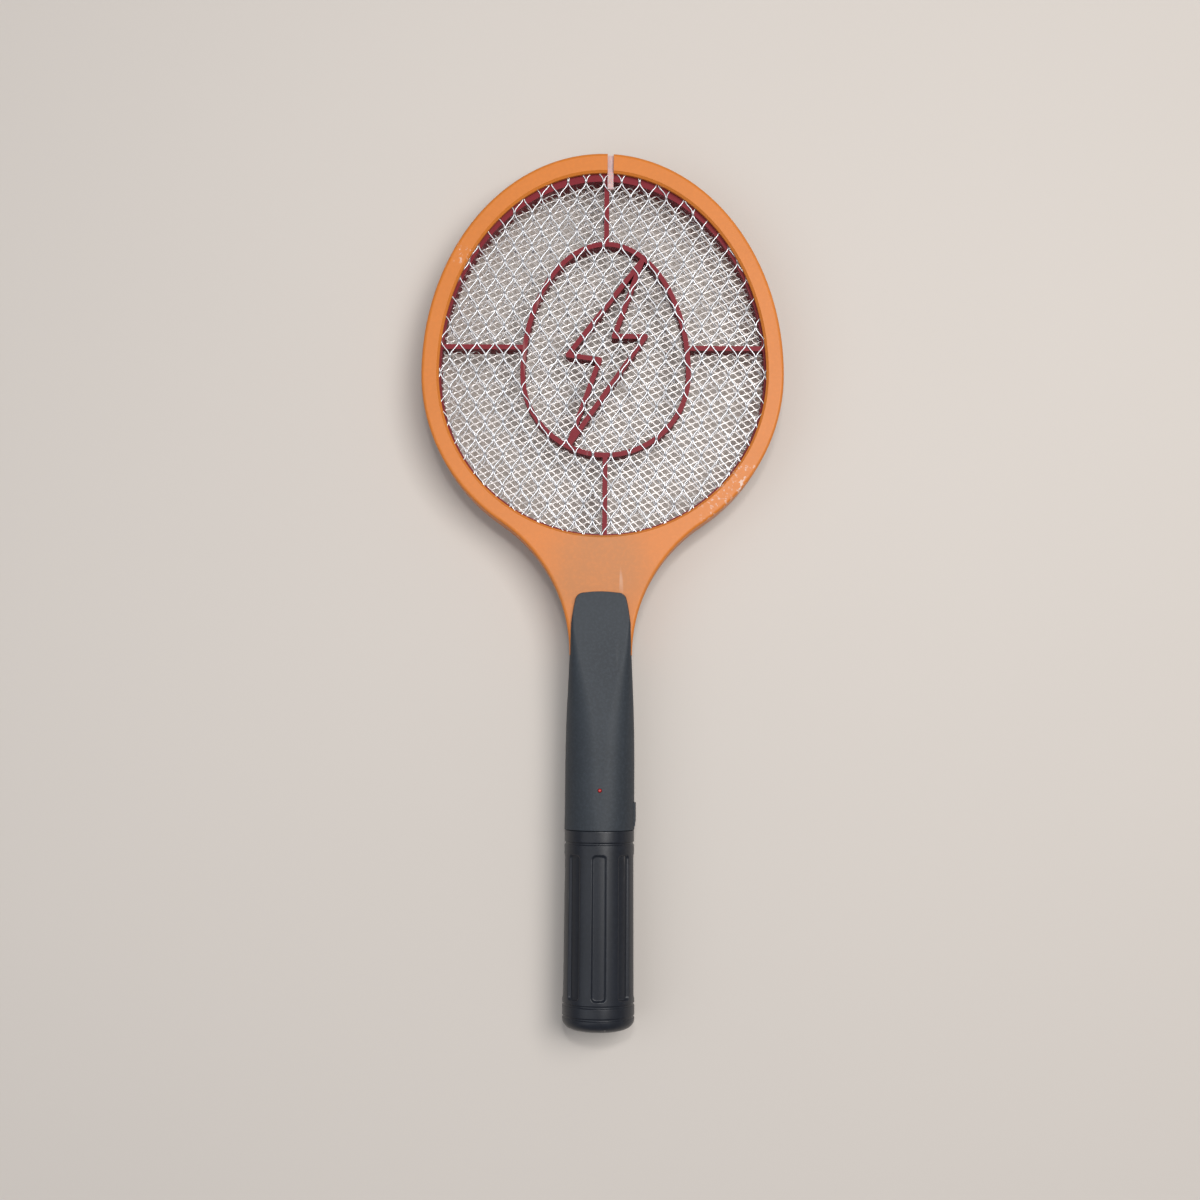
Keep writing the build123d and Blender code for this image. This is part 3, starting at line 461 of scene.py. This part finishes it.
def cap_quads(steps, sides):
    """Quads that close both ends of a tube with an even number of sides, as a fan of strips."""
    strips = np.arange(sides // 2 - 1)
    first = np.stack([strips, sides - 1 - strips, sides - 2 - strips, strips + 1], axis=-1)
    last = (steps - 1) * sides + first[:, ::-1]
    return np.concatenate([first, last])


# ---- battery cap --------------------------------------------------------------------------------
def spread_round(places, reach, count):
    """Values close together round each place: evenly spaced over plus and minus its reach."""
    return (np.asarray(places)[:, None] + np.linspace(-reach, reach, count)).ravel()


def rounded_box_distance(across, along, half_across, half_along, corner):
    """Signed distance to a rectangle with rounded corners, negative inside."""
    side = np.abs(across) - (half_across - corner)
    end = np.abs(along) - (half_along - corner)
    outside = np.hypot(np.maximum(side, 0.0), np.maximum(end, 0.0))
    return outside + np.minimum(np.maximum(side, end), 0.0) - corner


def cap_piece(shape, paint):
    """The fluted cap as one surface of rings, from the middle of its end over the mouth to its floor.

    The outer radius grows evenly from the mouth to the end and then follows a quarter of a
    superellipse to the flat. Each groove takes away a smooth pulse along the axis. Each flute
    takes the radius down to one floor radius where a rounded rectangle, unrolled round the cap,
    has a negative distance; a smoothstep across its edge rounds the rim of the flute.
    """
    mouth, end = CAP_HIGH[1], CAP_LOW[1]
    wide = (CAP_HIGH[0] - CAP_LOW[0]) / 2
    shoulder = end + shape.end_round
    grooves = np.array([mouth - shape.mouth_groove, end + shape.inner_groove, end + shape.outer_groove])
    flute_low, flute_high = end + shape.flute_end, mouth - shape.flute_start
    wall = np.concatenate([spread_round(grooves, 0.9 * MM, 15),
                           spread_round((flute_low, flute_high), 2.2 * MM, 15),
                           np.linspace(shoulder, mouth - 0.8 * MM, 30)])
    wall = np.unique(np.round(wall, 6))
    wall_radius = wide - (wide - shape.mouth_radius) * (wall - shoulder) / (mouth - shoulder)
    for groove in grooves:
        fade = smoothstep((np.abs(wall - groove) - 0.3 * MM) / (0.5 * MM))
        wall_radius -= shape.groove_depth * (1.0 - fade)
    quarter = np.linspace(0.0, math.pi / 2, 14)[:-1]
    dome = 1.0 - np.abs(np.cos(quarter)) ** 0.85
    dome_y = end + shape.end_round * dome
    dome_radius = shape.flat_radius + (wide - shape.flat_radius) * np.sin(quarter) ** 0.62
    lip = np.linspace(0.0, math.pi, 9)
    lip_middle = (shape.mouth_radius + shape.bore_radius) / 2
    lip_half = (shape.mouth_radius - shape.bore_radius) / 2
    lip_y = mouth - 0.6 * MM + 0.6 * MM * np.sin(lip)
    lip_radius = lip_middle + lip_half * np.sign(np.cos(lip)) * np.abs(np.cos(lip)) ** 0.7
    inner_y = np.array([mouth - 3 * MM, shape.bore_end, shape.bore_end - 0.5 * MM,
                        end + 4.2 * MM, end + 4.0 * MM])
    inner_radius = np.array([1.0, 1.0, 0.985, 0.75, 0.7]) * shape.bore_radius
    y = np.concatenate([[end], dome_y, wall, lip_y, inner_y])
    radius = np.concatenate([[0.6 * shape.flat_radius], dome_radius, wall_radius, lip_radius, inner_radius])
    is_wall = np.zeros(len(y), dtype=bool)
    is_wall[1 + len(dome_y):1 + len(dome_y) + len(wall)] = True
    pitch = 2 * math.pi / shape.flutes
    half_turn = shape.flute_turn / 2
    edge = 1.4 * MM / wide
    within = np.concatenate([np.linspace(-half_turn + edge, half_turn - edge, 5)[1:-1],
                             spread_round((-half_turn, half_turn), edge, 9),
                             np.linspace(half_turn + edge, pitch - half_turn - edge, 5)[1:-1]])
    within = np.sort(within)
    turn = (np.arange(shape.flutes)[:, None] * pitch + within).ravel()
    apart = (turn + pitch / 2) % pitch - pitch / 2
    across = apart[None, :] * shape.floor_radius
    along = (y - (flute_low + flute_high) / 2)[:, None]
    gap = rounded_box_distance(across, along, half_turn * shape.floor_radius,
                               (flute_high - flute_low) / 2, 2.0 * MM)
    cut = (1.0 - smoothstep((gap + 0.7 * MM) / (0.8 * MM))) * is_wall[:, None]
    flat_floor = shape.floor_radius * np.cos(half_turn) / np.cos(np.clip(apart, -half_turn, half_turn))
    flat_floor = np.maximum(flat_floor[None, :], shape.floor_radius)
    ring = radius[:, None] - (radius[:, None] - flat_floor) * cut
    points = np.stack([ring * np.sin(turn), np.broadcast_to(y[:, None], ring.shape),
                       MID_Z + ring * np.cos(turn)], axis=-1)
    rows, columns = ring.shape
    quads = np.concatenate([sheet_faces(rows, columns, close_columns=True), cap_quads(rows, columns)])
    piece = add_piece("fluted_cap", points, quads, "battery_cap", replaces=("battery_cap",))
    dress(piece, paint)
    return piece


# ---- user values --------------------------------------------------------------------------------
def size_value(label, text, default):
    """A length that a user may change, in metres."""
    return bpy.props.FloatProperty(name=label, description=text, default=default, unit="LENGTH", precision=5)


def colour_value(label, text, default):
    """A colour that a user may change, in linear light."""
    return bpy.props.FloatVectorProperty(name=label, description=text, default=default, size=3,
                                         min=0.0, max=1.0, subtype="COLOR")


class NetShape(bpy.types.PropertyGroup):
    """Lattice and strand sizes of one expanded mesh."""
    pitch_short: size_value("Short pitch", "Width of a diamond across its short diagonal", 8.9 * MM)
    pitch_long: size_value("Long pitch", "Length of a diamond along its long diagonal", 16.2 * MM)
    bond: size_value("Bond", "Length over which neighbouring strands run side by side", 1.5 * MM)
    width: size_value("Strand width", "Width of a strand in the plane of the mesh", 0.62 * MM)
    depth: size_value("Strand depth", "Thickness of a strand", 0.5 * MM)
    shift: size_value("Shift", "How far the lattice is set over along the handle", 0.0)
    turn: bpy.props.FloatProperty(name="Turn", description="Turn of the long diagonal from the handle's axis",
                                  default=0.0, unit="ROTATION")
    lean: bpy.props.FloatProperty(name="Lean", description="Lean of a strand's section half way along",
                                  default=0.35, unit="ROTATION")
    steps: bpy.props.IntProperty(name="Steps", description="Rings of points along one strand",
                                 default=8, min=3)
    sides: bpy.props.IntProperty(name="Sides", description="Points in one ring", default=6, min=4)
    smooth: bpy.props.BoolProperty(name="Smooth", description="Round rather than flat faces along a strand",
                                   default=True)


class CapShape(bpy.types.PropertyGroup):
    """Sizes of the battery cap's outside."""
    mouth_radius: size_value("Mouth radius", "Outer radius at the open end", 16.8 * MM)
    bore_radius: size_value("Bore radius", "Radius of the bore over the tray's collar", 15.2 * MM)
    bore_end: size_value("Bore end", "Place along the handle where the bore starts to close", -198.5 * MM)
    end_round: size_value("End rounding", "Length of the rounded end", 6.0 * MM)
    flat_radius: size_value("Flat radius", "Radius of the flat in the middle of the end", 5.0 * MM)
    groove_depth: size_value("Groove depth", "Depth of the three grooves", 0.5 * MM)
    mouth_groove: size_value("Mouth groove", "Place of the first groove, from the mouth", 6.3 * MM)
    inner_groove: size_value("Inner groove", "Place of the second groove, from the end", 12.7 * MM)
    outer_groove: size_value("Outer groove", "Place of the third groove, from the end", 6.8 * MM)
    flute_start: size_value("Flute start", "Where the flutes start, from the mouth", 11.5 * MM)
    flute_end: size_value("Flute end", "Where the flutes end, from the end", 15.2 * MM)
    floor_radius: size_value("Floor radius", "Radius of the flutes' floors", 16.0 * MM)
    flute_turn: bpy.props.FloatProperty(name="Flute turn", description="Width of a flute round the cap",
                                        default=math.radians(24.0), unit="ROTATION")
    flutes: bpy.props.IntProperty(name="Flutes", description="How many flutes stand round the cap",
                                  default=8, min=3)


class SwatterFinish(bpy.types.PropertyGroup):
    """Colours of the swatter's materials."""
    hoop: colour_value("Hoop", "Orange plastic of the hoop and throat", (0.57, 0.17, 0.022))
    # A darker, browner colour that the hoop plastic blends towards round one point in the middle of the
    # throat.
    throat: colour_value("Throat", "Browner patch of the plastic in the throat", (0.45, 0.16, 0.038))
    handle: colour_value("Handle", "Black plastic of the handle and button", (0.022, 0.028, 0.036))
    cap: colour_value("Cap", "Smoother black plastic of the battery cap", (0.0095, 0.0115, 0.017))
    spacer: colour_value("Spacer", "Red plastic of the ribs between the electrodes", (0.18, 0.008, 0.016))
    wire: colour_value("Wire", "Zinc-coated steel of the outer meshes", (0.74, 0.75, 0.78))
    grid: colour_value("Grid", "Steel of the fine inner grid", (0.46, 0.43, 0.42))
    # Painted highlight: the pink tone of this milky nylon stands for glare on the key over the red rib; the
    # milky nylon itself is the key's own colour.
    key: colour_value("Key", "Milky nylon of the key at the crown", (0.55, 0.36, 0.35))
    lamp: colour_value("Lamp", "Red lens of the indicator lamp", (0.42, 0.02, 0.02))
    floor: colour_value("Floor", "Pale plain floor", (0.56, 0.515, 0.475))


def finish():
    return bpy.context.scene.swatter_finish


# ---- operators ----------------------------------------------------------------------------------
class SWATTER_OT_outer_meshes(bpy.types.Operator):
    """Build the coarse wire meshes in front of and behind the fine grid"""
    bl_idname = "swatter.outer_meshes"
    bl_label = "Outer Meshes"

    def execute(self, context):
        shape = context.scene.swatter_outer_net
        paint = zinc_wire("galvanised_strand", finish().wire, 0.4, metal=0.9)
        strand_net("front_wire_mesh", shape, (MESH_LOW[2] + MESH_HIGH[2]) / 2, "racket", "front_mesh", paint)
        strand_net("rear_wire_mesh", shape, (REAR_LOW[2] + REAR_HIGH[2]) / 2, "racket", "rear_mesh", paint)
        return {"FINISHED"}


class SWATTER_OT_fine_grid(bpy.types.Operator):
    """Build the fine high-voltage grid in the middle plane"""
    bl_idname = "swatter.fine_grid"
    bl_label = "Fine Grid"

    def execute(self, context):
        shape = context.scene.swatter_inner_net
        paint = zinc_wire("grid_strand", finish().grid, 0.36, metal=0.6)
        strand_net("fine_wire_grid", shape, MID_Z, "racket", "inner_grid", paint)
        return {"FINISHED"}


class SWATTER_OT_battery_cap(bpy.types.Operator):
    """Build the fluted battery cap with rounded edges"""
    bl_idname = "swatter.battery_cap"
    bl_label = "Battery Cap"

    def execute(self, context):
        lid = moulded_plastic("cap_plastic", finish().cap, 0.34, grain=1200.0, grain_depth=0.03, mottle=0.5,
                              wear=0.3)
        cap_piece(context.scene.swatter_cap, lid)
        return {"FINISHED"}


class SWATTER_OT_plastics(bpy.types.Operator):
    """Give the hoop, spacers, handle, button, battery tray and crown key their finishes"""
    bl_idname = "swatter.plastics"
    bl_label = "Moulded Plastics"

    def execute(self, context):
        colours = finish()
        top = MESH_HIGH[2]
        hoop = moulded_plastic("hoop_plastic", colours.hoop, 0.42, wear=0.8, mottle=0.13,
                               # Darker, browner blotchy patch round the middle of the throat, fading out over
                               # 34 mm.
                               tint=tuple(colours.throat), tint_at=[((-0.002, 0.006, top), 0.034)],
                               scuffs_at=[((0.061, 0.038, top), 0.018), ((0.071, 0.052, top), 0.012),
                                          ((-0.069, 0.164, top), 0.009)])
        ribs = moulded_plastic("spacer_plastic", colours.spacer, 0.5, wear=0.1, sheen=0.25)
        grip = moulded_plastic("handle_plastic", colours.handle, 0.55, grain=1900.0, grain_depth=0.05,
                               mottle=0.6, wear=0.04)
        tray = moulded_plastic("tray_plastic", scaled(colours.handle, 0.8), 0.55)
        for node in ("front_frame", "rear_frame"):
            dress(node, hoop)
        for node in ("front_spacer", "rear_spacer"):
            dress(node, ribs)
        for node in ("handle_front_shell", "handle_rear_shell", "power_button"):
            dress(node, grip)
        dress("battery_tray", tray)
        # The crown key's milky nylon is real; its pink tone is a painted highlight.
        dress("crown_clip", translucent_nylon("key_nylon_painted_highlight", colours.key))
        return {"FINISHED"}


class SWATTER_OT_electrics(bpy.types.Operator):
    """Give the circuit, the wires, the contacts and the cells their finishes"""
    bl_idname = "swatter.electrics"
    bl_label = "Electrical Parts"

    def execute(self, context):
        steel = turned_metal("screw_steel", (0.56, 0.57, 0.60))
        spring = turned_metal("spring_steel", (0.74, 0.75, 0.78), 0.22)
        black = ceramic_block("part_moulding", (0.02, 0.02, 0.022), 0.5)
        for node in ("frame_screws", "handle_screws", "board_screws"):
            dress(node, steel)
        for node in ("negative_contact", "positive_contact", "bridge_contact", "mesh_strip"):
            dress(node, spring)
        for node in ("switch_body", "switch_plunger", "hv_diodes", "transistor"):
            dress(node, black)
        dress("grid_terminal", turned_metal("brass_tab", (0.78, 0.58, 0.26)))
        dress("circuit_board", circuit_laminate("solder_mask", (0.03, 0.17, 0.06)))
        dress("transformer_core", ceramic_block("ferrite", (0.045, 0.045, 0.05)))
        dress("transformer_winding", copper_winding("winding_wire", (0.70, 0.42, 0.10)))
        dress("hv_capacitor", ceramic_block("capacitor_dip", (0.42, 0.06, 0.02), 0.3))
        dress("resistors", ceramic_block("resistor_dip", (0.50, 0.38, 0.22), 0.4))
        dress("indicator_led", lamp_lens("lamp_lens", finish().lamp))
        dress("grid_wire", insulated_wire("red_sleeve", (0.52, 0.02, 0.02)))
        dress("battery_wire_positive", insulated_wire("battery_red_sleeve", (0.50, 0.02, 0.02)))
        dress("battery_wire_negative", insulated_wire("black_sleeve", (0.02, 0.02, 0.02)))
        dress("mesh_wire", insulated_wire("white_sleeve", (0.70, 0.70, 0.66)))
        dress("cap_seal_ring", insulated_wire("seal_rubber", (0.018, 0.018, 0.018)))
        for node, way in (("battery_cell_left", -1.0), ("battery_cell_right", 1.0)):
            low, high = corners(node)
            split = (low[1] + high[1]) / 2 + way * 0.14 * (high[1] - low[1])
            dress(node, cell_wrap(node + "_wrap", (0.012, 0.02, 0.05), (0.62, 0.46, 0.20), split, way))
        return {"FINISHED"}


class SWATTER_OT_stage(bpy.types.Operator):
    """Lay the floor and set the lights and the camera"""
    bl_idname = "swatter.stage"
    bl_label = "Stage"

    def execute(self, context):
        set_floor(8.0, finish().floor)
        set_lights()
        set_camera(context.scene.swatter_view)
        return {"FINISHED"}


# ---- stage --------------------------------------------------------------------------------------
def set_floor(half_size, colour):
    """A flat plane just under the object, with a faint unevenness in its paint."""
    paint = Paint("floor_paint")
    cloud = paint.noise(3.0, 3.0)
    base = paint.mix(cloud.above(0.3, 0.7) * 0.25, colour, scaled(colour, 0.96))
    material = paint.set(Base_Color=base, Roughness=cloud * 0.1 + 0.75)
    spread = np.linspace(-half_size, half_size, 5)
    x, y = np.meshgrid(spread, spread)
    points = np.stack([x, y, np.full_like(x, CAD_BOUNDS[0][2] - 0.0003)], axis=-1)
    mesh = bpy.data.meshes.new("floor")
    mesh.from_pydata(points.reshape(-1, 3).tolist(), [], sheet_faces(5, 5).tolist())
    floor = bpy.data.objects.new("floor", mesh)
    context_link(floor)
    floor.data.materials.append(material)


def context_link(thing):
    bpy.context.scene.collection.objects.link(thing)


def area_light(name, place, target, size, power, colour=(1.0, 1.0, 1.0)):
    """A square lamp at a place, turned to a target."""
    lamp = bpy.data.lights.new(name, "AREA")
    lamp.shape = "SQUARE"
    lamp.size = size
    lamp.energy = power
    lamp.color = colour
    thing = bpy.data.objects.new(name, lamp)
    thing.location = place
    thing.rotation_mode = "QUATERNION"
    thing.rotation_quaternion = (Vector(target) - Vector(place)).to_track_quat("-Z", "Y")
    context_link(thing)


def set_lights():
    """A large soft lamp on the right, a weaker one on the left, a small one ahead, and an even sky."""
    area_light("key_lamp", (0.62, 0.30, 1.55), (0.0, 0.0, 0.0), 0.9, 22.0, (1.0, 0.985, 0.96))
    area_light("fill_lamp", (-0.9, -0.2, 1.3), (0.0, 0.0, 0.0), 1.3, 6.0, (0.94, 0.97, 1.0))
    area_light("glint_lamp", (0.0, 0.185, 1.0), (0.0, 0.05, 0.0), 0.1, 2.0)
    world = bpy.data.worlds.new("studio")
    world.use_nodes = True
    sky = world.node_tree.nodes["Background"]
    sky.inputs["Color"].default_value = (0.93, 0.95, 1.0, 1.0)
    sky.inputs["Strength"].default_value = 0.27
    bpy.context.scene.world = world
    bpy.context.scene.view_settings.view_transform = "Standard"


class SwatterView(bpy.types.PropertyGroup):
    """Where the camera stands over the swatter."""
    height: size_value("Height", "Height of the camera over the head's middle plane", 0.80)
    foot: size_value("Foot", "Place along the handle that the camera stands over", -0.078)
    aim: size_value("Aim", "Place along the handle at the picture's middle", -0.0078)
    aim_across: size_value("Aim across", "Place across the handle at the picture's middle", -0.0005)
    span: size_value("Span", "Width of what the picture shows at the aim", 0.590)
    roll: bpy.props.FloatProperty(name="Roll", description="Turn of the picture about its middle",
                                  default=math.radians(0.4), unit="ROTATION")


def set_camera(view):
    """A camera over the handle that looks down at the middle of the swatter."""
    camera = bpy.data.cameras.new("camera")
    camera.sensor_width = 36.0
    place = Vector((view.aim_across, view.foot, MID_Z + view.height))
    target = Vector((view.aim_across, view.aim, MID_Z))
    camera.lens = camera.sensor_width * (target - place).length / view.span
    thing = bpy.data.objects.new("camera", camera)
    thing.location = place
    thing.rotation_mode = "QUATERNION"
    turn = (target - place).to_track_quat("-Z", "Y")
    thing.rotation_quaternion = turn
    thing.rotation_mode = "XYZ"
    thing.rotation_euler.rotate_axis("Z", view.roll)
    context_link(thing)
    bpy.context.scene.camera = thing


# ---- panel and registration ---------------------------------------------------------------------
OPERATORS = (SWATTER_OT_outer_meshes, SWATTER_OT_fine_grid, SWATTER_OT_battery_cap, SWATTER_OT_plastics,
             SWATTER_OT_electrics, SWATTER_OT_stage)


class SWATTER_PT_panel(bpy.types.Panel):
    """Lists the steps that build the swatter's looks"""
    bl_label = "Electric Fly Swatter"
    bl_idname = "SWATTER_PT_panel"
    bl_space_type = "VIEW_3D"
    bl_region_type = "UI"
    bl_category = "Swatter"

    def draw(self, context):
        for operator in OPERATORS:
            self.layout.operator(operator.bl_idname)


GROUPS = (NetShape, CapShape, SwatterFinish, SwatterView)


def register():
    for group in GROUPS:
        bpy.utils.register_class(group)
    bpy.types.Scene.swatter_outer_net = bpy.props.PointerProperty(type=NetShape)
    bpy.types.Scene.swatter_inner_net = bpy.props.PointerProperty(type=NetShape)
    bpy.types.Scene.swatter_cap = bpy.props.PointerProperty(type=CapShape)
    bpy.types.Scene.swatter_finish = bpy.props.PointerProperty(type=SwatterFinish)
    bpy.types.Scene.swatter_view = bpy.props.PointerProperty(type=SwatterView)
    for operator in OPERATORS:
        bpy.utils.register_class(operator)
    bpy.utils.register_class(SWATTER_PT_panel)


def unregister():
    bpy.utils.unregister_class(SWATTER_PT_panel)
    for operator in reversed(OPERATORS):
        bpy.utils.unregister_class(operator)
    for name in ("swatter_outer_net", "swatter_inner_net", "swatter_cap", "swatter_finish", "swatter_view"):
        delattr(bpy.types.Scene, name)
    for group in reversed(GROUPS):
        bpy.utils.unregister_class(group)


def set_inner_net():
    """The fine grid's own lattice: small diamonds whose long diagonal falls to the right."""
    net = bpy.context.scene.swatter_inner_net
    net.pitch_short = 3.66 * MM
    net.pitch_long = 5.56 * MM
    net.bond = 0.7 * MM
    net.width = 0.5 * MM
    net.depth = 0.34 * MM
    net.turn = math.radians(80.5)
    net.lean = 0.1
    net.smooth = False
    net.steps = 4
    net.sides = 4


def main():
    register()
    set_inner_net()
    bpy.ops.swatter.outer_meshes()
    bpy.ops.swatter.fine_grid()
    bpy.ops.swatter.battery_cap()
    bpy.ops.swatter.plastics()
    bpy.ops.swatter.electrics()
    bpy.ops.swatter.stage()


if __name__ == "__main__":
    main()
